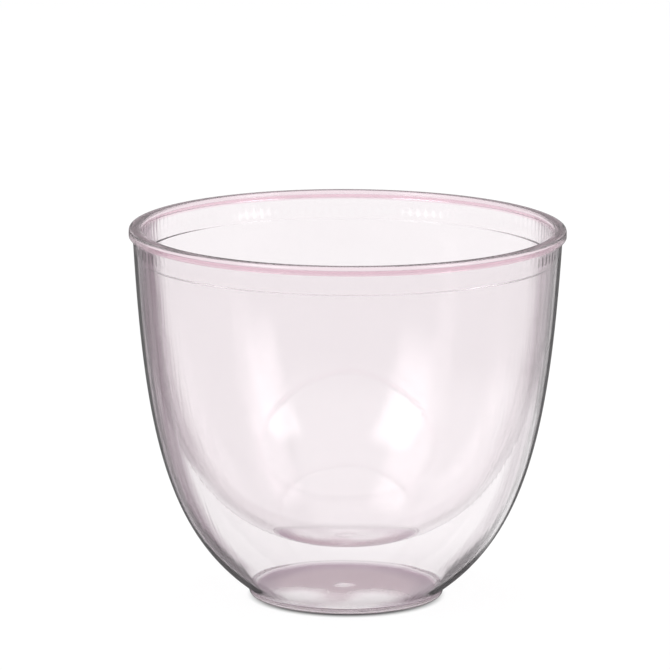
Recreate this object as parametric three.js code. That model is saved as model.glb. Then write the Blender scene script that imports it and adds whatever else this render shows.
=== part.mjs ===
// Double wall cup: a clear bowl pressed once into a clear shell, with still air shut in between the walls.
// Units are millimetres, +Z is up, and the origin is the centre of the foot's underside.

import * as THREE from 'three';

// Overall sizes
const rimDiameter = 65;
const cupHeight = 55.7;
const shellWall = 0.6;
const bowlWall = 0.55;

// Rim bead: a channel on the bowl that caps the shell's lip
const beadHeight = 1.3;
const beadCrown = 0.6;
const beadOuterRound = 0.5;
const beadInnerRound = 0.4;
const skirtWall = 0.5;
const skirtRound = 0.2;
const skirtClearance = 0.05;
const lipChamfer = 0.15;

// Collar: the tapered plug under the bead, which sits inside the shell's mouth
const collarDepth = 4.4;
const collarStep = 0.15;
const collarClearance = 0.13;

// Shell side: its lean at the lip and at the foot, and how far the curve keeps each lean
const mouthDraft = THREE.MathUtils.degToRad(3.2);
const upperReach = 28.8;
const footLean = THREE.MathUtils.degToRad(35.2);
const lowerReach = 15.7;

// Foot: a ring, rounded outside, round a shallow domed recess
const footDiameter = 29.1;
const footHeight = 1.04;
const footRound = 0.7;
const footRingWidth = 1.65;
const recessDepth = 0.3;
const floorWall = 0.55;

// Air gap: beside the bowl, at its shoulder and under its pole
const sideGap = 0.46;
const shoulderInset = 3.95;
const poleGap = 7.1;

// Gate marks: the small discs where the plastic was let into each mould
const gateRadius = 1.4;
const gateHeight = 0.16;
const gateTaper = 0.3;

// Smoothness
const facetsAround = 60;
const stepsAlongWall = 15;
const stepsInRound = 3;
const stepsInRecess = 6;

// Heights and radii that follow from the sizes above
const rimRadius = rimDiameter / 2;
const lipTop = cupHeight - beadCrown;
const skirtBottom = cupHeight - beadHeight;
const collarBottom = cupHeight - collarDepth;
const skirtInnerRadius = rimRadius - skirtWall;
const lipRadius = skirtInnerRadius - skirtClearance;
const footRadius = footDiameter / 2;
const recessRadius = footRadius - footRingWidth;
const floorTop = recessDepth + floorWall;
const poleBottom = floorTop + poleGap;

const point = (radius, height) => new THREE.Vector2(radius, height);

// The shell's outside runs from the lip down to the foot.
const shellLip = point(lipRadius, lipTop);
const shellFoot = point(footRadius, footHeight);
const shellUpper = point(
  shellLip.x - upperReach * Math.sin(mouthDraft),
  shellLip.y - upperReach * Math.cos(mouthDraft),
);
const shellLower = point(
  shellFoot.x + lowerReach * Math.cos(footLean),
  shellFoot.y + lowerReach * Math.sin(footLean),
);
const shellSide = new THREE.CubicBezierCurve(shellLip, shellUpper, shellLower, shellFoot);

// The collar leans as the shell's mouth does, and keeps its clearance to it all the way down.
function collarRadius(height) {
  const lean = (lipTop - height) * Math.tan(mouthDraft);
  return lipRadius - shellWall - collarClearance - lean;
}

// The bowl's outside runs from under the collar to its pole, inside the shell's curve by the air gap.
const bowlShoulder = point(collarRadius(collarBottom) - collarStep, collarBottom);
const bowlUpper = point(shellUpper.x - shellWall - sideGap, shellUpper.y);
const bowlLower = point(shellLower.x - shoulderInset, poleBottom);
const bowlPole = point(0, poleBottom);
const bowlSide = new THREE.CubicBezierCurve(bowlShoulder, bowlUpper, bowlLower, bowlPole);

// Points along a wall from top to bottom, moved square to the wall by a depth.
function wallPoints(curve, depth) {
  const points = [];
  for (let step = 0; step <= stepsAlongWall; step += 1) {
    const along = step / stepsAlongWall;
    const place = curve.getPoint(along);
    const heading = curve.getTangent(along);
    points.push(point(place.x + depth * heading.y, place.y - depth * heading.x));
  }
  return points;
}

// A quarter round between two points, pulled towards the corner that it replaces.
function roundCorner(start, corner, end) {
  return new THREE.QuadraticBezierCurve(start, corner, end).getPoints(stepsInRound);
}

// A gate disc below a flat or nearly flat surface, from the axis outwards.
function gateMark(surfaceHeight) {
  return [
    point(0, surfaceHeight - gateHeight),
    point(gateRadius, surfaceHeight - gateHeight),
    point(gateRadius + gateTaper, surfaceHeight),
  ];
}

// The inside of the shell: down the wall, and on in its last direction to the edge of the flat floor.
function shellInside() {
  const wall = wallPoints(shellSide, shellWall).slice(1).filter((place) => place.y > floorTop);
  const [before, last] = wall.slice(-2);
  const heading = last.clone().sub(before);
  const floorEdge = last.clone().addScaledVector(heading, (floorTop - last.y) / heading.y);
  return [...wall, floorEdge, point(0, floorTop)];
}

// The recess under the floor: a dome that is level at the gate mark and at the foot's ring.
function shellRecess() {
  const points = [];
  for (let step = 1; step <= stepsInRecess; step += 1) {
    const along = step / stepsInRecess;
    const radius = THREE.MathUtils.lerp(gateRadius + gateTaper, recessRadius, along);
    const fall = THREE.MathUtils.smoothstep(along, 0, 1);
    points.push(point(radius, recessDepth * (1 - fall)));
  }
  return points;
}

function shellProfile() {
  const footEdge = roundCorner(
    point(footRadius - footRound, 0),
    point(footRadius, 0),
    point(footRadius, footRound),
  );
  const lip = [
    point(lipRadius - shellWall + lipChamfer, lipTop),
    point(lipRadius - shellWall - lipChamfer * Math.tan(mouthDraft), lipTop - lipChamfer),
  ];
  const outside = wallPoints(shellSide, 0).reverse();
  return [...gateMark(recessDepth), ...shellRecess(), ...footEdge, ...outside, ...lip, ...shellInside()];
}

// The bead in section: up inside the channel, round the skirt and over the crown to the collar's inside.
function beadPoints() {
  const innerRadius = collarRadius(lipTop) - bowlWall;
  return [
    point(collarRadius(lipTop), lipTop),
    point(skirtInnerRadius, lipTop),
    point(skirtInnerRadius, skirtBottom),
    ...roundCorner(
      point(rimRadius - skirtRound, skirtBottom),
      point(rimRadius, skirtBottom),
      point(rimRadius, skirtBottom + skirtRound),
    ),
    ...roundCorner(
      point(rimRadius, cupHeight - beadOuterRound),
      point(rimRadius, cupHeight),
      point(rimRadius - beadOuterRound, cupHeight),
    ),
    ...roundCorner(
      point(innerRadius + beadInnerRound, cupHeight),
      point(innerRadius, cupHeight),
      point(innerRadius, cupHeight - beadInnerRound),
    ),
  ];
}

function bowlProfile() {
  const outside = wallPoints(bowlSide, 0).reverse().slice(1);
  const collar = [point(collarRadius(collarBottom), collarBottom), ...beadPoints()];
  const ledge = point(collarRadius(collarBottom + collarStep) - bowlWall, collarBottom + collarStep);
  const inside = wallPoints(bowlSide, bowlWall);
  return [...gateMark(poleBottom), ...outside, ...collar, ledge, ...inside];
}

// A closed half section turned about the cup's axis.
function turned(profile) {
  return new THREE.LatheGeometry(profile, facetsAround).rotateX(Math.PI / 2);
}

function clearPlastic(tint) {
  return new THREE.MeshStandardMaterial({
    color: tint,
    roughness: 0.06,
    metalness: 0,
    transparent: true,
    opacity: 0.3,
  });
}

function piece(name, profile, tint) {
  const mesh = new THREE.Mesh(turned(profile), clearPlastic(tint));
  mesh.name = name;
  return mesh;
}

const cup = new THREE.Group();
cup.add(piece('outer_shell', shellProfile(), 0xf1edf0));
cup.add(piece('inner_bowl', bowlProfile(), 0xf4f1f3));

export default cup;
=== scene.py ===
# %% [markdown]
# A clear double wall cup, dressed for the camera. The cup is two thin mouldings: a shell that stands on
# the table, and a bowl that is pressed into it and caps its lip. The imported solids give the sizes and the
# place of both. This file turns finer versions of the same two sections, gives them a clear plastic with
# the faults of a real moulding, and lights them on a pale table.

# %% Load the frame
import math

import bpy
from mathutils import Matrix, Vector


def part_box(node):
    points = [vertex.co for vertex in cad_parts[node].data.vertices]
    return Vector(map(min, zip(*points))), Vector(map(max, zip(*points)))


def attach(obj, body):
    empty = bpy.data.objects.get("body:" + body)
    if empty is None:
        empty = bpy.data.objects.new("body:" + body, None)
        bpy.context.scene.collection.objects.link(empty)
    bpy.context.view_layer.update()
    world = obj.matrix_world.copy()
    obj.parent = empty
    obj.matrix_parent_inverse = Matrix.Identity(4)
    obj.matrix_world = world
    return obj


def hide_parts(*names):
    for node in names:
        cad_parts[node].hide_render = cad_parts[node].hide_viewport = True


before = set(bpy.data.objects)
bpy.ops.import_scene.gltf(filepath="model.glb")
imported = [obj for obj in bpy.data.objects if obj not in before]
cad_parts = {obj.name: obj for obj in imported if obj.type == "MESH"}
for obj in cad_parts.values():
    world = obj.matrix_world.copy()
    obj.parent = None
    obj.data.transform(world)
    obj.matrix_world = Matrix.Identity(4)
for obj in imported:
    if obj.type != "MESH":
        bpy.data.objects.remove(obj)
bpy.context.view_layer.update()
print("nodes in the frame:", sorted(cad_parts))

# %% [markdown]
# The frame already knows the big sizes, so they are read from the solids' boxes and not typed again. What
# a box can't tell, such as a wall's thickness, is a named value in millimetres, as on a drawing. Blender
# works in metres, so one constant turns the drawing's numbers into Blender's.

# %% Sizes
MM = 0.001

bowl_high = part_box("inner_bowl")[1]
shell_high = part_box("outer_shell")[1]
rim_radius = bowl_high.x / MM
cup_height = bowl_high.z / MM
lip_radius = shell_high.x / MM
lip_top = shell_high.z / MM

shell_wall = 0.6
bowl_wall = 0.55

bead_height = 1.3
skirt_wall = 0.5
skirt_bottom = cup_height - bead_height
seat_gap = 0.03

collar_depth = 4.4
collar_step = 0.15
collar_clearance = 0.13
collar_bottom = cup_height - collar_depth

mouth_draft = math.radians(3.2)
upper_reach = 28.8
foot_lean = math.radians(35.2)
lower_reach = 15.7

foot_radius = 14.55
foot_height = 1.04
foot_ring_width = 1.65
recess_radius = foot_radius - foot_ring_width
recess_depth = 0.3
floor_wall = 0.55
floor_top = recess_depth + floor_wall

side_gap = 0.46
shoulder_inset = 3.95
pole_gap = 7.1
pole_bottom = floor_top + pole_gap

gate_radius = 1.4
gate_height = 0.16
gate_taper = 0.3

print(f"rim {2 * rim_radius:.2f} mm across, cup {cup_height:.2f} mm high, lip at {lip_top:.2f} mm")

# %% [markdown]
# Each piece is round, so all of its shape is in one half section: a closed line from the axis, along the
# underside, up the outside, over the rim and down the inside to the axis again. A long wall is a smooth
# curve with a lean at each end, which a cubic Bezier holds in four points. Its inner face is the same
# curve moved square to itself by the wall's thickness.

# %% Curves of the walls
class WallCurve:
    """A cubic curve in the half section, from the top of a wall to its bottom."""

    def __init__(self, start, upper, lower, end):
        self.points = [Vector(p) for p in (start, upper, lower, end)]

    def at(self, t, depth=0.0):
        """The place at share t of the curve, moved into the wall by depth."""
        a, b, c, d = self.points
        s = 1 - t
        place = a * s**3 + b * (3 * s * s * t) + c * (3 * s * t * t) + d * t**3
        heading = ((b - a) * (s * s) + (c - b) * (2 * s * t) + (d - c) * (t * t)).normalized()
        return place + Vector((heading.y, -heading.x)) * depth

    def steps(self, count, depth=0.0):
        return [self.at(i / count, depth) for i in range(count + 1)]


shell_upper = Vector((
    lip_radius - upper_reach * math.sin(mouth_draft),
    lip_top - upper_reach * math.cos(mouth_draft),
))
shell_lower = Vector((
    foot_radius + lower_reach * math.cos(foot_lean),
    foot_height + lower_reach * math.sin(foot_lean),
))
shell_side = WallCurve((lip_radius, lip_top), shell_upper, shell_lower, (foot_radius, foot_height))


def collar_radius(height):
    """The collar's outside at a height: it leans as the shell's mouth does."""
    return lip_radius - shell_wall - collar_clearance - (lip_top - height) * math.tan(mouth_draft)


bowl_side = WallCurve(
    (collar_radius(collar_bottom) - collar_step, collar_bottom),
    (shell_upper.x - shell_wall - side_gap, shell_upper.y),
    (shell_lower.x - shoulder_inset, pole_bottom),
    (0, pole_bottom),
)
half_way = bowl_side.at(0.5)
print(f"half way down, the bowl's outside is {half_way.x:.2f} mm from the axis at height {half_way.y:.2f} mm")

# %% [markdown]
# No moulded edge is sharp: the tool's corners are rounded, and the small rounds catch the light as thin
# lines. A section is written as a list of corners, each with the radius of its round, and one function
# puts the arcs in. A Bevel modifier could round the edges too, but here the rounds are known before there
# is a mesh. Where there is room, a point a little off each end of an arc keeps smooth shading from
# smearing the round over the flat next to it.

# %% Rounded corners
ARC_STEPS = 6
HOLD = 0.12
HOLD_ROOM = 3


def corner(from_axis, height, rounding=0.0):
    return Vector((from_axis, height)), rounding


def plain(points):
    """Points of a smooth curve, which need no rounding."""
    return [(point, 0.0) for point in points]


def rounded(section):
    """The section's line with an arc at every corner that has a rounding."""
    line = []
    for i, (here, rounding) in enumerate(section):
        if rounding == 0 or i in (0, len(section) - 1):
            line.append(here)
            continue
        back = section[i - 1][0] - here
        ahead = section[i + 1][0] - here
        bend = math.pi - back.angle(ahead)
        reach = rounding * math.tan(bend / 2)
        start = here + back.normalized() * reach
        end = here + ahead.normalized() * reach
        if back.length > HOLD_ROOM * reach:
            line.append(here + back.normalized() * (reach * (1 + HOLD)))
        for step in range(ARC_STEPS + 1):
            t = step / ARC_STEPS
            line.append(start * (1 - t) ** 2 + here * (2 * t * (1 - t)) + end * t**2)
        if ahead.length > HOLD_ROOM * reach:
            line.append(here + ahead.normalized() * (reach * (1 + HOLD)))
    return line


square = rounded([corner(0, 0), corner(1, 0, 0.2), corner(1, 1)])
print(f"a square corner is rounded with {len(square) - 2} points")

# %% [markdown]
# The shell's section starts under the foot. The gate mark is the small disc in the middle of the recess,
# where the plastic was let into the mould. The ring round the recess carries the cup. The wall keeps its
# thickness all the way down and meets the floor at a corner.

# %% Section of the shell
WALL_STEPS = 56
RECESS_STEPS = 24

gate_edge_round = 0.12
gate_root_round = 0.2
foot_round = 0.7
foot_neck_round = 0.3
floor_round = 0.3
lip_outer_round = 0.06
lip_inner_round = 0.15


def gate_mark(surface):
    """The gate's disc under a surface, from the axis outwards."""
    return [
        corner(0, surface - gate_height),
        corner(gate_radius, surface - gate_height, gate_edge_round),
        corner(gate_radius + gate_taper, surface, gate_root_round),
    ]


def shell_recess():
    """The shallow dome under the floor: level at the gate mark, and level again at the ring."""
    start = gate_radius + 2 * gate_taper
    dome = []
    for step in range(RECESS_STEPS + 1):
        t = step / RECESS_STEPS
        fall = t * t * (3 - 2 * t)
        dome.append(Vector((start + (recess_radius - start) * t, recess_depth * (1 - fall))))
    return dome


inside_wall = shell_side.steps(WALL_STEPS, shell_wall)[1:]
heading = inside_wall[-1] - inside_wall[-2]
floor_edge = inside_wall[-1] + heading * ((floor_top - inside_wall[-1].y) / heading.y)
shell_line = rounded([
    *gate_mark(recess_depth),
    *plain(shell_recess()),
    corner(foot_radius, 0, foot_round),
    corner(foot_radius, foot_height, foot_neck_round),
    *plain(shell_side.steps(WALL_STEPS)[-2:0:-1]),
    corner(lip_radius, lip_top, lip_outer_round),
    corner(lip_radius - shell_wall, lip_top, lip_inner_round),
    *plain(inside_wall),
    corner(*floor_edge, floor_round),
    corner(gate_radius, floor_top),
    corner(0, floor_top),
])
print(f"shell section: {len(shell_line)} points, floor {2 * floor_edge.x:.2f} mm across")

# %% [markdown]
# The bowl's section climbs from its pole to the collar, goes round the channel that caps the shell's lip,
# over the bead and down the inside. The collar is the stretch that plugs the shell's mouth. A step of a
# hair's width under it shows on the real cup as a thin dark ring. The channel's ceiling rests on the lip.
# It is drawn a few hundredths of a millimetre clear of it, because two clear faces in one place can't
# both be traced.

# %% Section of the bowl
shoulder_round = 0.04
collar_round = 0.05
channel_round = 0.06
skirt_inner_round = 0.08
skirt_round = 0.2
bead_outer_round = 0.5
bead_inner_round = 0.4
ledge_round = 0.2

rim_inner_radius = collar_radius(lip_top) - bowl_wall


def bowl_section():
    outside = [p for p in bowl_side.steps(WALL_STEPS)[::-1] if p.x > gate_radius + 2 * gate_taper]
    inside = bowl_side.steps(WALL_STEPS, bowl_wall)
    ledge = collar_bottom + collar_step
    ceiling = lip_top + seat_gap
    skirt_inner = rim_radius - skirt_wall
    return rounded([
        *gate_mark(pole_bottom),
        *plain(outside[:-1]),
        corner(*bowl_side.at(0), shoulder_round),
        corner(collar_radius(collar_bottom), collar_bottom, collar_round),
        corner(collar_radius(ceiling), ceiling, channel_round),
        corner(skirt_inner, ceiling, channel_round),
        corner(skirt_inner, skirt_bottom, skirt_inner_round),
        corner(rim_radius, skirt_bottom, skirt_round),
        corner(rim_radius, cup_height, bead_outer_round),
        corner(rim_inner_radius, cup_height, bead_inner_round),
        corner(collar_radius(ledge) - bowl_wall, ledge, ledge_round),
        corner(*inside[0], ledge_round),
        *plain(inside[1:]),
    ])


bowl_line = bowl_section()
print(f"bowl section: {len(bowl_line)} points, rim opening {2 * rim_inner_radius:.2f} mm")

# %% [markdown]
# Node trees are long when every node and link is written out, so three small classes help. A Wire is a
# node's output that takes part in plain arithmetic: each operator adds one Math node. A Made is a
# finished node. A Sheet is a node tree in the making, with one method that adds any node: its type, its
# settings, and what its sockets get.

# %% Helpers for node trees
class Wire:
    """A node's output, usable in expressions such as 1 - mask * 0.5."""

    def __init__(self, sheet, socket):
        self.sheet = sheet
        self.socket = socket

    def math(self, operation, *others):
        values = dict(enumerate((self, *others)))
        return self.sheet.node("ShaderNodeMath", {"operation": operation}, values)[0]

    def __add__(self, other):
        return self.math("ADD", other)

    __radd__ = __add__

    def __mul__(self, other):
        return self.math("MULTIPLY", other)

    __rmul__ = __mul__

    def __sub__(self, other):
        return self.math("SUBTRACT", other)

    def __rsub__(self, other):
        """A number less this value, as in 1 - mask."""
        return self.sheet.node("ShaderNodeMath", {"operation": "SUBTRACT"}, {0: other, 1: self})[0]

    def __truediv__(self, other):
        return self.math("DIVIDE", other)

    def __pow__(self, other):
        return self.math("POWER", other)


class Made:
    """A finished node; its outputs are fetched by name or number as Wires."""

    def __init__(self, sheet, node):
        self.sheet = sheet
        self.node = node

    def __getitem__(self, output):
        return Wire(self.sheet, self.node.outputs[output])


class Sheet:
    """A node tree in the making."""

    def __init__(self, tree):
        self.tree = tree

    def node(self, kind, settings=None, sockets=None):
        node = self.tree.nodes.new(kind)
        for name, value in (settings or {}).items():
            setattr(node, name, value)
        for name, value in (sockets or {}).items():
            self.feed(node.inputs[name], value)
        return Made(self, node)

    def feed(self, socket, value):
        if isinstance(value, Wire):
            self.tree.links.new(value.socket, socket)
        else:
            socket.default_value = value


# %% [markdown]
# Both pieces are turned, so one Geometry Nodes tree makes them: it takes a section as a string of points,
# lays a grid with one column for every step round the axis, and bends the grid into place. The collar's
# crush ribs, the fine upright ridges that grip the shell's mouth, follow the same rule: where a point of
# the section is marked as ribbed, its radius swells once for every rib. A Screw modifier could turn a
# plain section, but it can't swell one. Ribs made this way are one skin with the collar, which clear
# plastic needs, because a second closed shape sunk into the first would show as a bubble.

# %% Geometry Nodes tree for a turned piece
MERGE_DISTANCE = 1e-6

INPUTS = {
    "Section": "NodeSocketGeometry",
    "Steps Round": "NodeSocketInt",
    "Rib Count": "NodeSocketInt",
    "Rib Height": "NodeSocketFloat",
    "Plastic": "NodeSocketMaterial",
}


def sampled(sheet, section, kind, value, row):
    """A value of the section's point in a row."""
    sockets = {0: section, "Value": value, "Index": row}
    return sheet.node("GeometryNodeSampleIndex", {"data_type": kind}, sockets)["Value"]


def turning_tree():
    tree = bpy.data.node_groups.new("turned_piece", "GeometryNodeTree")
    for name, kind in INPUTS.items():
        tree.interface.new_socket(name, in_out="INPUT", socket_type=kind)
    tree.interface.new_socket("Piece", in_out="OUTPUT", socket_type="NodeSocketGeometry")
    sheet = Sheet(tree)
    given = sheet.node("NodeGroupInput")
    section = given["Section"]
    size = sheet.node("GeometryNodeAttributeDomainSize", {"component": "MESH"}, {"Geometry": section})
    count = size["Point Count"]
    grid_size = {"Vertices X": given["Steps Round"] + 1, "Vertices Y": count}
    geometry = sheet.node("GeometryNodeMeshGrid", None, grid_size)["Mesh"]
    index = sheet.node("GeometryNodeInputIndex")["Index"]
    row = sheet.node("FunctionNodeIntegerMath", {"operation": "MODULO"}, {0: index, 1: count})[0]
    column = sheet.node("FunctionNodeIntegerMath", {"operation": "DIVIDE"}, {0: index, 1: count})[0]
    position = sheet.node("GeometryNodeInputPosition")["Position"]
    place = sampled(sheet, section, "FLOAT_VECTOR", position, row)
    ribbed = sheet.node("GeometryNodeInputNamedAttribute", {"data_type": "FLOAT"}, {"Name": "ribbed"})
    share = sampled(sheet, section, "FLOAT", ribbed["Attribute"], row)
    parts = sheet.node("ShaderNodeSeparateXYZ", None, {0: place})
    angle = column * math.tau / given["Steps Round"]
    ridge = (angle * given["Rib Count"]).math("COSINE").math("MAXIMUM", 0.0)
    radius = parts["X"] + share * ridge * given["Rib Height"]
    bent = {"X": radius * angle.math("COSINE"), "Y": radius * angle.math("SINE"), "Z": parts["Z"]}
    turned = sheet.node("ShaderNodeCombineXYZ", None, bent)["Vector"]
    for kind, sockets in (
        ("GeometryNodeSetPosition", {"Position": turned}),
        ("GeometryNodeMergeByDistance", {"Distance": MERGE_DISTANCE}),
        ("GeometryNodeSetShadeSmooth", {}),
        ("GeometryNodeRealizeInstances", {}),
        ("GeometryNodeSetMaterial", {"Material": given["Plastic"]}),
    ):
        geometry = sheet.node(kind, None, {"Geometry": geometry, **sockets})["Geometry"]
    sheet.node("NodeGroupOutput", None, {"Piece": geometry})
    return tree


turned_piece = turning_tree()
print(f"turning tree: {len(turned_piece.nodes)} nodes")

# %% [markdown]
# A piece starts as its section, a bare string of points, with the turning tree as its only modifier. The
# tree's result is then copied out as a plain mesh, so that nothing is left to evaluate later.

# %% Turn a section into a mesh
def carry_section(name, line, ribbed):
    """An object that holds the section's points, each marked with its share of the ribs."""
    section = bpy.data.meshes.new(name + "_section")
    places = [(p.x * MM, 0, p.y * MM) for p in line]
    section.from_pydata(places, [(i, i + 1) for i in range(len(line) - 1)], [])
    marks = section.attributes.new("ribbed", "FLOAT", "POINT")
    for mark, point in zip(marks.data, line):
        mark.value = ribbed(point) if ribbed else 0.0
    carrier = bpy.data.objects.new(name + "_section", section)
    bpy.context.scene.collection.objects.link(carrier)
    return carrier


def turn(name, line, steps_round, plastic, ribbed=None, rib_count=0, rib_height=0.0):
    carrier = carry_section(name, line, ribbed)
    modifier = carrier.modifiers.new("turn", "NODES")
    modifier.node_group = turned_piece
    given = {
        "Steps Round": steps_round,
        "Rib Count": rib_count,
        "Rib Height": rib_height * MM,
        "Plastic": plastic,
    }
    for item in turned_piece.interface.items_tree:
        if item.name in given:
            modifier[item.identifier] = given[item.name]
    bpy.context.view_layer.update()
    evaluated = carrier.evaluated_get(bpy.context.evaluated_depsgraph_get())
    mesh = bpy.data.meshes.new_from_object(evaluated)
    mesh.name = name
    section = carrier.data
    bpy.data.objects.remove(carrier)
    bpy.data.meshes.remove(section)
    piece = bpy.data.objects.new(name, mesh)
    bpy.context.scene.collection.objects.link(piece)
    triangles = sum(len(face.vertices) - 2 for face in mesh.polygons)
    print(f"{name}: {triangles} triangles")
    return piece


# %% [markdown]
# A finish changes from place to place: the bead is rubbed, the foot is satin, the collar is ribbed. Masks
# say where, and most of them are a smooth rise between two heights or two distances from the axis. A
# Color Ramp does the same, but its stops hide the sizes, so a Map Range node takes them as numbers.

# %% Helpers for masks
def ramp(sheet, value, low, high):
    """0 below low, 1 above high, and a smooth rise between."""
    return sheet.node(
        "ShaderNodeMapRange",
        {"interpolation_type": "SMOOTHSTEP"},
        {"Value": value, "From Min": low, "From Max": high},
    )["Result"]


def ramp_mm(sheet, value, low, high):
    """The same for a length, with its ends in millimetres."""
    return ramp(sheet, value, low * MM, high * MM)


def blend(sheet, share, first, second, mode="MIX"):
    settings = {"data_type": "RGBA", "blend_type": mode}
    return sheet.node("ShaderNodeMix", settings, {0: share, 6: first, 7: second})[2]


def noise(sheet, where, scale, detail):
    sockets = {"Vector": where, "Scale": scale, "Detail": detail}
    return sheet.node("ShaderNodeTexNoise", None, sockets)[0]


def open_material(name):
    material = bpy.data.materials.new(name)
    material.use_nodes = True
    material.node_tree.nodes.clear()
    return material, Sheet(material.node_tree)


# %% [markdown]
# Every mask starts from where a spot of the surface lies on the cup: its height, its distance from the
# axis, whether it faces outwards, and whether it is level. Object coordinates give the place, because the
# pieces stand at the origin, and the face's normal gives the rest.

# %% Where a spot lies
AXIS_GUARD = 1e-5
BEAD_FADE = (skirt_bottom - 0.15, skirt_bottom + 0.25)
FACES_OUT = (0.0, 0.1)
LEVEL = (0.88, 0.97)


class Spot:
    """The place of a spot of the surface on the cup, as Wires."""

    def __init__(self, sheet):
        self.where = sheet.node("ShaderNodeTexCoord")["Object"]
        place = sheet.node("ShaderNodeSeparateXYZ", None, {0: self.where})
        self.x = place["X"]
        self.y = place["Y"]
        self.height = place["Z"]
        self.from_axis = (self.x ** 2 + self.y ** 2) ** 0.5 + AXIS_GUARD
        face = sheet.node("ShaderNodeNewGeometry")
        normal = sheet.node("ShaderNodeSeparateXYZ", None, {0: face["Normal"]})
        outward = (normal["X"] * self.x + normal["Y"] * self.y) / self.from_axis
        self.outside = ramp(sheet, outward, *FACES_OUT) * (1 - face["Backfacing"])
        self.flat = ramp(sheet, normal["Z"].math("ABSOLUTE"), *LEVEL)
        self.on_bead = ramp_mm(sheet, self.height, *BEAD_FADE)


# %% [markdown]
# The skin of a clear moulding isn't perfect. It swells in broad soft waves where it cooled unevenly, and
# streaks run up it along the plastic's flow. Both are bump, because they only tilt the light. Handling
# leaves a faint haze, hairlines, and scuffs on the bead and under the foot, and these are roughness.
# Scratches could be cut into the mesh, but they are finer than any face of it.

# %% Skin of the mouldings
WAVE_SCALE, WAVE_DETAIL = 90.0, 1.0
STREAK_SCALE, STREAK_DETAIL = 30.0, 2.0
STREAK_STRETCH = 2.0
STREAK_BUMP = 0.1
BUMP_STRENGTH = 0.2
BUMP_HEIGHT = 0.4

HAZE_SCALE, HAZE_DETAIL = 420.0, 4.0
HAIR_TURN = (0.5, 0.9, 0.2)
HAIR_SCALE = (3200.0, 150.0, 3200.0)
HAIR_NOISE = (1.0, 2.0)
HAIR_LEVELS = (0.66, 0.74)
SCUFF_LEVELS = (0.5, 0.75)
RUBBED_FOOT = (0.05, 0.5)
HAZE_ROUGH, HAIR_ROUGH, SCUFF_ROUGH = 0.05, 0.06, 0.12

LEVELLING = (1.0, 1.0, 0.75)


class Skin:
    """The moulded skin at a spot: bump, roughness, and its lean away from the line of sight."""

    def __init__(self, sheet, spot):
        wave = noise(sheet, spot.where, WAVE_SCALE, WAVE_DETAIL)
        along_flow = sheet.node(
            "ShaderNodeCombineXYZ",
            None,
            {"X": spot.x / spot.from_axis, "Y": spot.y / spot.from_axis, "Z": spot.height * STREAK_STRETCH},
        )["Vector"]
        self.streak = noise(sheet, along_flow, STREAK_SCALE, STREAK_DETAIL)
        relief = {"Strength": BUMP_STRENGTH, "Distance": BUMP_HEIGHT * MM}
        relief["Height"] = wave + self.streak * STREAK_BUMP
        self.bump = sheet.node("ShaderNodeBump", None, relief)["Normal"]
        self.haze = noise(sheet, spot.where, HAZE_SCALE, HAZE_DETAIL)
        self.roughness = self.worn_roughness(sheet, spot)
        self.lean = self.lean_from_sight(sheet)

    def worn_roughness(self, sheet, spot):
        mapping = {"Vector": spot.where, "Rotation": HAIR_TURN, "Scale": HAIR_SCALE}
        hair = sheet.node("ShaderNodeMapping", None, mapping)["Vector"]
        hairline = ramp(sheet, noise(sheet, hair, *HAIR_NOISE), *HAIR_LEVELS)
        handled = spot.on_bead + (1 - ramp_mm(sheet, spot.height, *RUBBED_FOOT))
        scuff = ramp(sheet, self.haze, *SCUFF_LEVELS) * handled
        return self.haze * HAZE_ROUGH + hairline * HAIR_ROUGH + scuff * SCUFF_ROUGH

    def lean_from_sight(self, sheet):
        """0 where the skin faces the eye and 1 where it is seen edge on."""
        scaled = {0: self.bump, 1: LEVELLING}
        levelled = sheet.node("ShaderNodeVectorMath", {"operation": "MULTIPLY"}, scaled)["Vector"]
        levelled = sheet.node("ShaderNodeVectorMath", {"operation": "NORMALIZE"}, {0: levelled})["Vector"]
        return sheet.node("ShaderNodeLayerWeight", None, {"Blend": 0.5, "Normal": levelled})["Facing"]


# %% [markdown]
# Clear polystyrene is painted grey where one looks along it: a band near the outline, and a dark line
# at the outline itself. Both are painted shade, standing in for the darker surroundings that the walls
# mirror and bend when seen edge on; the plastic's own absorption adds only a little. An absorbing volume
# would need a very fine trace in walls this thin, so the tint follows the Layer Weight node, which knows
# how edge on the skin is. The band is streaked along the flow, and painted lighter towards the right side
# of the cup, as painted light from that side. The line is wider low down, where the wall leans most.

# %% Painted shade near the outline
BAND_LEAN = (0.55, 0.61)
LINE_LEAN = (0.79, 0.84)
LOW_LEAN = 0.15
LEVEL_RELIEF = 0.4
OFF_FOOT = (foot_height + 0.06, foot_height + 1.76)
LOW_WALL = (2.0, 14.0)
FLOW_LEAST = 0.72
FLOW_LEVELS = (0.38, 0.6)
PAINTED_LIGHT_RIGHT = 0.5
PAINTED_LIGHT_RIGHT_REACH = (-8.0, 24.0)


def tint_with_outline_shade(sheet, spot, skin, wall, clear, band, line):
    off_foot = ramp_mm(sheet, spot.height, *OFF_FOOT)
    low = (1 - ramp_mm(sheet, spot.height, *LOW_WALL)) * off_foot
    streak_and_lit_side = FLOW_LEAST + (1 - FLOW_LEAST) * ramp(sheet, skin.streak, *FLOW_LEVELS)
    # Painted light: the band is weakened towards the right side of the cup.
    streak_and_lit_side = streak_and_lit_side * (1 - PAINTED_LIGHT_RIGHT * ramp_mm(sheet, spot.x, *PAINTED_LIGHT_RIGHT_REACH))
    # The band and the line are painted shade near the outline.
    in_band = ramp(sheet, skin.lean, *BAND_LEAN) * (1 - LEVEL_RELIEF * spot.flat) * wall * off_foot * streak_and_lit_side
    in_line = ramp(sheet, skin.lean + low * LOW_LEAN, *LINE_LEAN) * (1 - spot.flat) * wall
    return blend(sheet, in_line, blend(sheet, in_band, clear, band), line)


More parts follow.
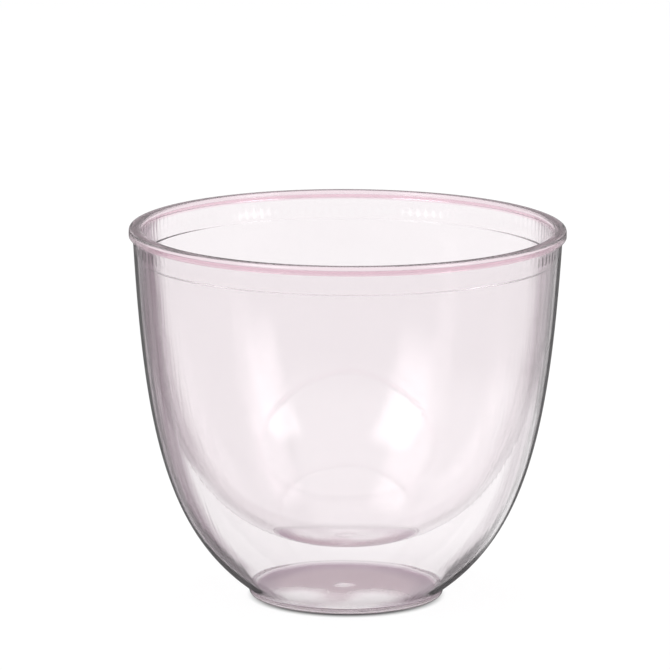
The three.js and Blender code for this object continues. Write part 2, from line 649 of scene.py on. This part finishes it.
# %% [markdown]
# Clear plastic bends light strongly, and the Principled shader's transmission does that. Light from the
# lamps is let straight through to the table, which gives the thin soft shadow of a clear cup without
# waiting for focused light to be traced.

# %% Shader of the plastic
POLYSTYRENE_IOR = 1.59


def finish_plastic(sheet, skin, tint, roughness, shade):
    surface = sheet.node(
        "ShaderNodeBsdfPrincipled",
        None,
        {
            "Base Color": tint,
            "Roughness": roughness,
            "IOR": POLYSTYRENE_IOR,
            "Transmission Weight": 1.0,
            "Normal": skin.bump,
        },
    )["BSDF"]
    through = sheet.node("ShaderNodeBsdfTransparent", None, {"Color": shade})["BSDF"]
    path = sheet.node("ShaderNodeLightPath")
    for ray in ("Is Diffuse Ray", "Is Shadow Ray"):
        surface = sheet.node("ShaderNodeMixShader", None, {0: path[ray], 1: surface, 2: through})[0]
    sheet.node("ShaderNodeOutputMaterial", None, {"Surface": surface})


# %% [markdown]
# The bowl's crush ribs press into the shell's mouth, and near the outline they show as a comb of fine
# dark lines. The lines are painted shade of the ribs' flanks, a tint on the shell: the cosine of the
# bearing round the axis, times the number of ribs, rises once for each.

# %% Painted rib shade in the shell's mouth
RIB_COUNT = 150
rib_height = 0.03
rib_low = cup_height - 3.2

RIB_SHADE_WIDTH = (-0.2, 0.7)
RIB_SHADE_LEAN = (0.5, 0.62)
RIB_SHADE_START = (rib_low - 0.2, rib_low + 0.2)
RIB_SHADE_END = (skirt_bottom - 0.7, skirt_bottom - 0.3)
RIB_SHADE_TINT = (0.1, 0.08, 0.09, 1)


def painted_rib_shade(sheet, spot, skin, tint):
    bearing = spot.y.math("ARCTAN2", spot.x)
    stripe = ramp(sheet, (bearing * RIB_COUNT).math("COSINE"), *RIB_SHADE_WIDTH)
    on_ribs = ramp_mm(sheet, spot.height, *RIB_SHADE_START) * spot.outside
    on_ribs = on_ribs * (1 - ramp_mm(sheet, spot.height, *RIB_SHADE_END))
    # Painted shade of the ribs' flanks, only where the shell is seen edge on.
    return blend(sheet, stripe * on_ribs * ramp(sheet, skin.lean, *RIB_SHADE_LEAN), tint, RIB_SHADE_TINT)


print(f"{RIB_COUNT} rib marks, {math.tau * collar_radius(rib_low) / RIB_COUNT:.2f} mm apart")

# %% [markdown]
# The mould's steel was left satin under the foot, so the floor looks dim. It is also painted darker and
# mauve, deeper towards its ring: painted shade of the dim table under the cup. Standing and stacking have
# worn the satin glossy in patches, each a place and a size in millimetres, and these patches and the gate
# mark are painted lighter too, as painted highlights. A thin dark line of painted shade runs round the
# corner where the floor meets the wall.

# %% Satin foot with painted shade and highlights
SATIN = 0.3
SATIN_TOP = (floor_top + 0.1, floor_top + 0.65)
SATIN_RIM = (recess_radius + 0.4, recess_radius + 1.2)
WORN_AND_LIT_PATCHES = ((-7.0, -6.2, 8.0), (4.3, -6.6, 7.6), (0.0, -12.5, 8.0), (-0.3, 0.5, 3.0))
PATCH_CORE = 0.3
PATCH_RAGGED = 2.0
WORN_GLOSS, LIT_PATCH_CLEAR = 0.9, 0.95
FOOT_SHADE_TINT = (0.76, 0.58, 0.65, 1)
RING_SHADE_TINT = (0.48, 0.34, 0.44, 1)
RING_FADE = (8.5, 13.0)
CORNER_SHADE_TINT = (0.4, 0.31, 0.37, 1)
CORNER_REACH = (floor_edge.x - 0.065, floor_edge.x + 0.035)
CORNER_LOW = (floor_top - 0.02, floor_top + 0.02)
CORNER_HIGH = (floor_top + 0.07, floor_top + 0.15)


def foot_masks(sheet, spot, skin):
    """Where the foot's floor is dulled and painted darker, and the patches rubbed glossy and painted lighter.
    """
    low = 1 - ramp_mm(sheet, spot.height, *SATIN_TOP)
    at_foot = low * (1 - ramp_mm(sheet, spot.from_axis, *SATIN_RIM))
    worn_and_lit = 0
    for x, y, size in WORN_AND_LIT_PATCHES:
        away = ((spot.x - x * MM) ** 2 + (spot.y - y * MM) ** 2) ** 0.5
        ragged = away + skin.haze * (PATCH_RAGGED * MM)
        worn_and_lit = (1 - ramp_mm(sheet, ragged, PATCH_CORE * size, size)) + worn_and_lit
    return at_foot, worn_and_lit.math("MINIMUM", 1.0)


def foot_shade_and_highlights(sheet, spot, at_foot, worn_and_lit, tint):
    # Painted shade: the floor under the foot is darkened and tinted mauve, more towards its ring.
    satin_shade = blend(sheet, ramp_mm(sheet, spot.from_axis, *RING_FADE), FOOT_SHADE_TINT, RING_SHADE_TINT)
    # Painted highlights: in the rubbed patches the painted shade is lifted.
    tint = blend(sheet, at_foot * (1 - worn_and_lit * LIT_PATCH_CLEAR), tint, satin_shade, "MULTIPLY")
    # Painted shade in the corner where the floor meets the wall.
    in_corner_shade = ramp_mm(sheet, spot.from_axis, *CORNER_REACH) * ramp_mm(sheet, spot.height, *CORNER_LOW)
    in_corner_shade = in_corner_shade * (1 - ramp_mm(sheet, spot.height, *CORNER_HIGH))
    return blend(sheet, in_corner_shade, tint, CORNER_SHADE_TINT)


print(f"satin foot with {len(WORN_AND_LIT_PATCHES)} worn patches")

# %% [markdown]
# The shell's plastic puts these together. Its outline is the cup's outline, so the painted shade of its
# line is nearly black.

# %% Plastic of the shell
SHELL_CLEAR = (0.968, 0.945, 0.955, 1)
# The band and line colours are painted shade near the outline.
SHELL_BAND = (0.36, 0.28, 0.325, 1)
SHELL_LINE = (0.006, 0.005, 0.0055, 1)
SHELL_SHADE = (0.93, 0.92, 0.925, 1)


def make_shell_plastic():
    material, sheet = open_material("shell_clear")
    spot = Spot(sheet)
    skin = Skin(sheet, spot)
    at_foot, worn_and_lit = foot_masks(sheet, spot, skin)
    tint = tint_with_outline_shade(sheet, spot, skin, 1 - spot.on_bead, SHELL_CLEAR, SHELL_BAND, SHELL_LINE)
    tint = painted_rib_shade(sheet, spot, skin, tint)
    tint = foot_shade_and_highlights(sheet, spot, at_foot, worn_and_lit, tint)
    roughness = skin.roughness + at_foot * (1 - worn_and_lit * WORN_GLOSS) * SATIN
    finish_plastic(sheet, skin, tint, roughness, SHELL_SHADE)
    return material


shell_plastic = make_shell_plastic()
print(f"{shell_plastic.name}: {len(shell_plastic.node_tree.nodes)} nodes")

# %% [markdown]
# The bowl lies inside the shell, so its outline is softer. Its bead is the thickest plastic on the cup
# and is given a faint pink of painted light, with darker lines of painted shade along its edges. Inside
# the collar the painted band is held back, because the wall there is backed by the shell's mouth.

# %% Plastic of the bowl
BOWL_CLEAR = (0.975, 0.958, 0.965, 1)
# The band and line colours are painted shade near the outline.
BOWL_BAND = (0.72, 0.67, 0.695, 1)
BOWL_LINE = (0.3, 0.26, 0.28, 1)
BOWL_SHADE = (0.95, 0.94, 0.945, 1)
BEAD_PAINTED_PINK = (0.92, 0.79, 0.84, 1)
BEAD_EDGE_SHADE = (0.26, 0.19, 0.22, 1)
BEAD_TOP_LEAN = (0.7, 0.78)
BEAD_SIDE_LEAN = (0.9, 0.96)
COLLAR_FADE = (collar_bottom - 0.4, collar_bottom + 0.4)
COLLAR_HOLD = 0.8


def make_bowl_plastic():
    material, sheet = open_material("bowl_clear")
    spot = Spot(sheet)
    skin = Skin(sheet, spot)
    at_collar = ramp_mm(sheet, spot.height, *COLLAR_FADE)
    wall = (1 - spot.on_bead) * (1 - at_collar * (1 - spot.outside) * COLLAR_HOLD)
    tint = tint_with_outline_shade(sheet, spot, skin, wall, BOWL_CLEAR, BOWL_BAND, BOWL_LINE)
    on_top = ramp(sheet, skin.lean, *BEAD_TOP_LEAN) * spot.flat
    on_side = ramp(sheet, skin.lean, *BEAD_SIDE_LEAN) * (1 - spot.flat)
    # Painted pink light on the bead, and painted shade along its edges.
    bead = blend(sheet, on_top + on_side, BEAD_PAINTED_PINK, BEAD_EDGE_SHADE)
    tint = blend(sheet, spot.on_bead, tint, bead)
    finish_plastic(sheet, skin, tint, skin.roughness, BOWL_SHADE)
    return material


bowl_plastic = make_bowl_plastic()
print(f"{bowl_plastic.name}: {len(bowl_plastic.node_tree.nodes)} nodes")

# %% [markdown]
# The shell is turned in many small steps, because a flat spot on clear plastic shows at once in what is
# seen through it.

# %% Outer shell
SHELL_STEPS_ROUND = 360

shell = turn("outer_shell_clear", shell_line, SHELL_STEPS_ROUND, shell_plastic)
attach(shell, "root")
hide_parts("outer_shell")

# %% [markdown]
# The bowl has the crush ribs on the upper part of its collar. They end just under the channel, so the
# section's points between those heights are marked. The ribs' ends are put in as points of their own.

# %% Inner bowl
STEPS_PER_RIB = 3
rib_margin = 0.25
NEAR_COLLAR = 0.01
SAME_PLACE = 1e-4
RIB_FOOT_ENDS = (-0.02, 0.02)
RIB_HEAD_ENDS = (-0.025, 0.025)


def on_collar(point):
    """1 where the section is the collar's outside, between the ribs' ends."""
    between = rib_low < point.y < lip_top - rib_margin
    outside = abs(point.x - collar_radius(point.y)) < NEAR_COLLAR
    return 1.0 if between and outside else 0.0


def with_collar_points(line):
    """The line with the ribs' ends put in, a point on each side of an end."""
    ends = [rib_low + shift for shift in RIB_FOOT_ENDS]
    ends += [lip_top - rib_margin + shift for shift in RIB_HEAD_ENDS]
    extra = [Vector((collar_radius(height), height)) for height in ends]
    for i, point in enumerate(line[:-1]):
        on_line = abs(point.x - collar_radius(point.y)) < SAME_PLACE
        if on_line and line[i + 1].y - point.y > collar_depth / 2:
            return line[: i + 1] + extra + line[i + 1 :]
    raise ValueError("the section has no collar")


bowl = turn(
    "inner_bowl_clear",
    with_collar_points(bowl_line),
    RIB_COUNT * STEPS_PER_RIB,
    bowl_plastic,
    on_collar,
    RIB_COUNT,
    rib_height,
)
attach(bowl, "root")
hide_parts("inner_bowl")

# %% [markdown]
# The table is a plain pale sheet, a hair under the foot for the same reason as the channel's gap. To the
# camera, and to what is seen through the plastic, it is lifted to white. The lamps' part of its
# brightness stays, so it keeps the cup's shadow, and a dark ring painted close round the foot is a
# painted shadow of contact, reaching a little further on the camera's side. On one side the table is
# white to the plastic's reflections too, as a white card laid there would be.

# %% Table
PAPER = 0.18
PAPER_ROUGHNESS = 0.9
WHITE_LIFT = 1.03
CONTACT_TINT = (0.06, 0.06, 0.06, 1)
contact_inset = 0.65
contact_radius = foot_radius - contact_inset
contact_reach = 1.4
contact_fade = 0.9

card_corner = (26.0, 17.0)
card_turn = math.radians(35.2)
CARD_EDGE = (-3.0, 6.0)
CARD_NEAR = (21.0, 35.0)
CARD_FAR = (95.0, 140.0)


def contact_mask(sheet, x, y, from_axis):
    """1 where the table is clear of the painted shadow of contact."""
    from_shadow = (x ** 2 + (y + contact_reach * MM) ** 2) ** 0.5
    fade = (-contact_reach, contact_reach * contact_fade)
    lit = ramp_mm(sheet, from_shadow - contact_radius * MM, *fade)
    return lit.math("MAXIMUM", from_axis.math("LESS_THAN", contact_radius * MM))


def card_mask(sheet, x, y, from_axis):
    """1 where the table is white to reflections."""
    across = (x - card_corner[0] * MM) * math.cos(card_turn)
    beside = across - (y - card_corner[1] * MM) * math.sin(card_turn)
    card = ramp_mm(sheet, beside, *CARD_EDGE) * (1 - ramp_mm(sheet, from_axis, *CARD_FAR))
    return card * ramp_mm(sheet, from_axis, *CARD_NEAR)


def table_finish():
    material, sheet = open_material("pale_table")
    where = sheet.node("ShaderNodeSeparateXYZ", None, {0: sheet.node("ShaderNodeTexCoord")["Object"]})
    x, y = where["X"], where["Y"]
    from_axis = (x ** 2 + y ** 2) ** 0.5
    # A painted shadow of contact round the foot: darker paper and no lift there.
    clear_of_foot = contact_mask(sheet, x, y, from_axis)
    path = sheet.node("ShaderNodeLightPath")
    seen = path["Is Camera Ray"].math("MAXIMUM", path["Is Transmission Ray"])
    seen = seen.math("MAXIMUM", path["Is Glossy Ray"] * card_mask(sheet, x, y, from_axis))
    lift = seen * clear_of_foot * (WHITE_LIFT - PAPER)
    surface = sheet.node(
        "ShaderNodeBsdfPrincipled",
        None,
        {
            "Base Color": blend(sheet, clear_of_foot, CONTACT_TINT, (PAPER, PAPER, PAPER, 1)),
            "Roughness": PAPER_ROUGHNESS,
            "Specular IOR Level": 0.0,
            "Emission Color": blend(sheet, lift, (0, 0, 0, 1), (1, 1, 1, 1)),
            "Emission Strength": 1.0,
        },
    )["BSDF"]
    sheet.node("ShaderNodeOutputMaterial", None, {"Surface": surface})
    return material


TABLE_HALF = 3.0
table_drop = 0.02

table_mesh = bpy.data.meshes.new("table_top")
corners = [(x * TABLE_HALF, y * TABLE_HALF) for x, y in ((-1, -1), (1, -1), (1, 1), (-1, 1))]
table_mesh.from_pydata([(x, y, -table_drop * MM) for x, y in corners], [], [(0, 1, 2, 3)])
table_top = bpy.data.objects.new("table_top", table_mesh)
table_top.data.materials.append(table_finish())
bpy.context.scene.collection.objects.link(table_top)
print(f"table: {2 * TABLE_HALF:.0f} m across, {table_drop} mm under the foot")

# %% [markdown]
# The light is that of a small white studio: a soft sky all round, brighter overhead. The camera, and what
# is seen through the plastic, get the sky as plain white. Reflections get a share of that white from its
# upper part only, so that the walls keep their grey edges. An image of a studio could light the cup, but
# a plain grade needs no file.

# %% Sky
SKY_LOW, SKY_HIGH = 0.25, 0.55
SKY_GRADE_TOP = 0.8
GLOSSY_HEIGHT = (0.3, 0.65)
GLOSSY_SHARE = 0.55


def studio_sky():
    world = bpy.data.worlds.new("studio")
    world.use_nodes = True
    sheet = Sheet(world.node_tree)
    sheet.tree.nodes.clear()
    direction = sheet.node("ShaderNodeTexCoord")["Generated"]
    height = sheet.node("ShaderNodeSeparateXYZ", None, {0: direction})["Z"]
    grading = {"Value": height, "From Max": SKY_GRADE_TOP, "To Min": SKY_LOW, "To Max": SKY_HIGH}
    grade = sheet.node("ShaderNodeMapRange", None, grading)["Result"]
    path = sheet.node("ShaderNodeLightPath")
    seen = path["Is Camera Ray"].math("MAXIMUM", path["Is Transmission Ray"])
    mirrored = path["Is Glossy Ray"] * ramp(sheet, height, *GLOSSY_HEIGHT) * GLOSSY_SHARE
    seen = seen.math("MAXIMUM", mirrored)
    level = grade + seen * (1 - grade)
    light = sheet.node("ShaderNodeBackground", None, {"Color": (1, 1, 1, 1), "Strength": level})["Background"]
    sheet.node("ShaderNodeOutputWorld", None, {"Surface": light})
    bpy.context.scene.world = world


studio_sky()
print(f"sky: {SKY_LOW} at the horizon, {SKY_HIGH} overhead, white to the camera")

# %% [markdown]
# Three soft boxes add shape: a large one on the left, a smaller one on the right and one overhead. A real
# soft box is brightest in its middle, so each lamp fades towards its edges, and its reflection has no
# hard border. The one overhead only lights the table and is kept out of the reflections.

# %% Lamps
AIM = (0, 0, 0.03)
BOX_GLOW = 2.2
FADE_ACROSS = (0.2, 0.5)
FADE_ALONG = (0.25, 0.5)


def soft_box(name, place, width, height, watts):
    lamp = bpy.data.lights.new(name, "AREA")
    lamp.shape = "RECTANGLE"
    lamp.size = width
    lamp.size_y = height
    lamp.energy = watts
    lamp.use_nodes = True
    sheet = Sheet(lamp.node_tree)
    sheet.tree.nodes.clear()
    across = sheet.node("ShaderNodeSeparateXYZ", None, {0: sheet.node("ShaderNodeNewGeometry")["Parametric"]})
    edge_x = 1 - ramp(sheet, (across["X"] - 0.5).math("ABSOLUTE"), *FADE_ACROSS)
    edge_y = 1 - ramp(sheet, (across["Y"] - 0.5).math("ABSOLUTE"), *FADE_ALONG)
    glow = sheet.node("ShaderNodeEmission", None, {"Strength": edge_x * edge_y * BOX_GLOW})["Emission"]
    sheet.node("ShaderNodeOutputLight", None, {"Surface": glow})
    holder = bpy.data.objects.new(name, lamp)
    holder.location = place
    holder.rotation_mode = "QUATERNION"
    holder.rotation_quaternion = (Vector(AIM) - Vector(place)).to_track_quat("-Z", "Y")
    holder.visible_camera = False
    bpy.context.scene.collection.objects.link(holder)
    print(f"{name}: {width} by {height} m, {watts} W")
    return holder


soft_box("left_box", place=(-0.75, -0.7, 0.75), width=0.8, height=1.3, watts=3.4)
soft_box("right_box", place=(0.85, -0.55, 0.6), width=0.6, height=1.1, watts=2.0)
top_box = soft_box("top_box", place=(0.0, 0.25, 1.3), width=0.6, height=0.5, watts=5.0)
top_box.visible_glossy = False
top_box.visible_transmission = False

# %% [markdown]
# The camera stands where the photograph's camera stood: a long lens, a little above the rim, turned by a
# fraction of a degree as the photograph is.

# %% Camera
SENSOR = 36.0
FRAME_PIXELS = 670
CLIP_NEAR, CLIP_FAR = 0.01, 20.0
focal_pixels = 6026.5
camera_distance = 0.9
camera_height_angle = math.radians(12.151)
camera_roll = math.radians(0.266)
aim_height = 0.028
aim_pixel = (346.87, 409.29)


def place_camera():
    data = bpy.data.cameras.new("camera")
    data.sensor_width = SENSOR
    data.lens = focal_pixels / FRAME_PIXELS * SENSOR
    data.clip_start = CLIP_NEAR
    data.clip_end = CLIP_FAR
    holder = bpy.data.objects.new("camera", data)
    bpy.context.scene.collection.objects.link(holder)
    back = Vector((0, -math.cos(camera_height_angle), math.sin(camera_height_angle)))
    holder.location = Vector((0, 0, aim_height)) + back * camera_distance
    centre = FRAME_PIXELS / 2
    turn_left = math.atan((aim_pixel[0] - centre) / focal_pixels)
    turn_up = math.atan((aim_pixel[1] - centre) / focal_pixels)
    level = (-back).to_track_quat("-Z", "Y").to_matrix()
    roll = Matrix.Rotation(camera_roll, 3, "Z")
    pan = Matrix.Rotation(turn_left, 3, "Y") @ Matrix.Rotation(turn_up, 3, "X")
    holder.rotation_mode = "QUATERNION"
    holder.rotation_quaternion = (level @ roll @ pan).to_quaternion()
    bpy.context.scene.camera = holder
    print(f"camera at {tuple(round(v, 4) for v in holder.location)}, lens {data.lens:.1f} mm")


place_camera()

# %% [markdown]
# Light passes eight faces of plastic before it leaves the cup on the far side. Some of it is caught in
# the rim and runs round inside it, as in a light guide, and if the tracer gives up on that light the ends
# of the rim turn black. So it is allowed many more turns than usual. Colours are shown plainly.

# %% View settings
BOUNCES = 100
THROUGH_BOUNCES = 40

scene = bpy.context.scene
scene.view_settings.view_transform = "Standard"
scene.cycles.max_bounces = BOUNCES
scene.cycles.transmission_bounces = BOUNCES
scene.cycles.glossy_bounces = BOUNCES
scene.cycles.transparent_max_bounces = THROUGH_BOUNCES
print(f"light may turn {BOUNCES} times")
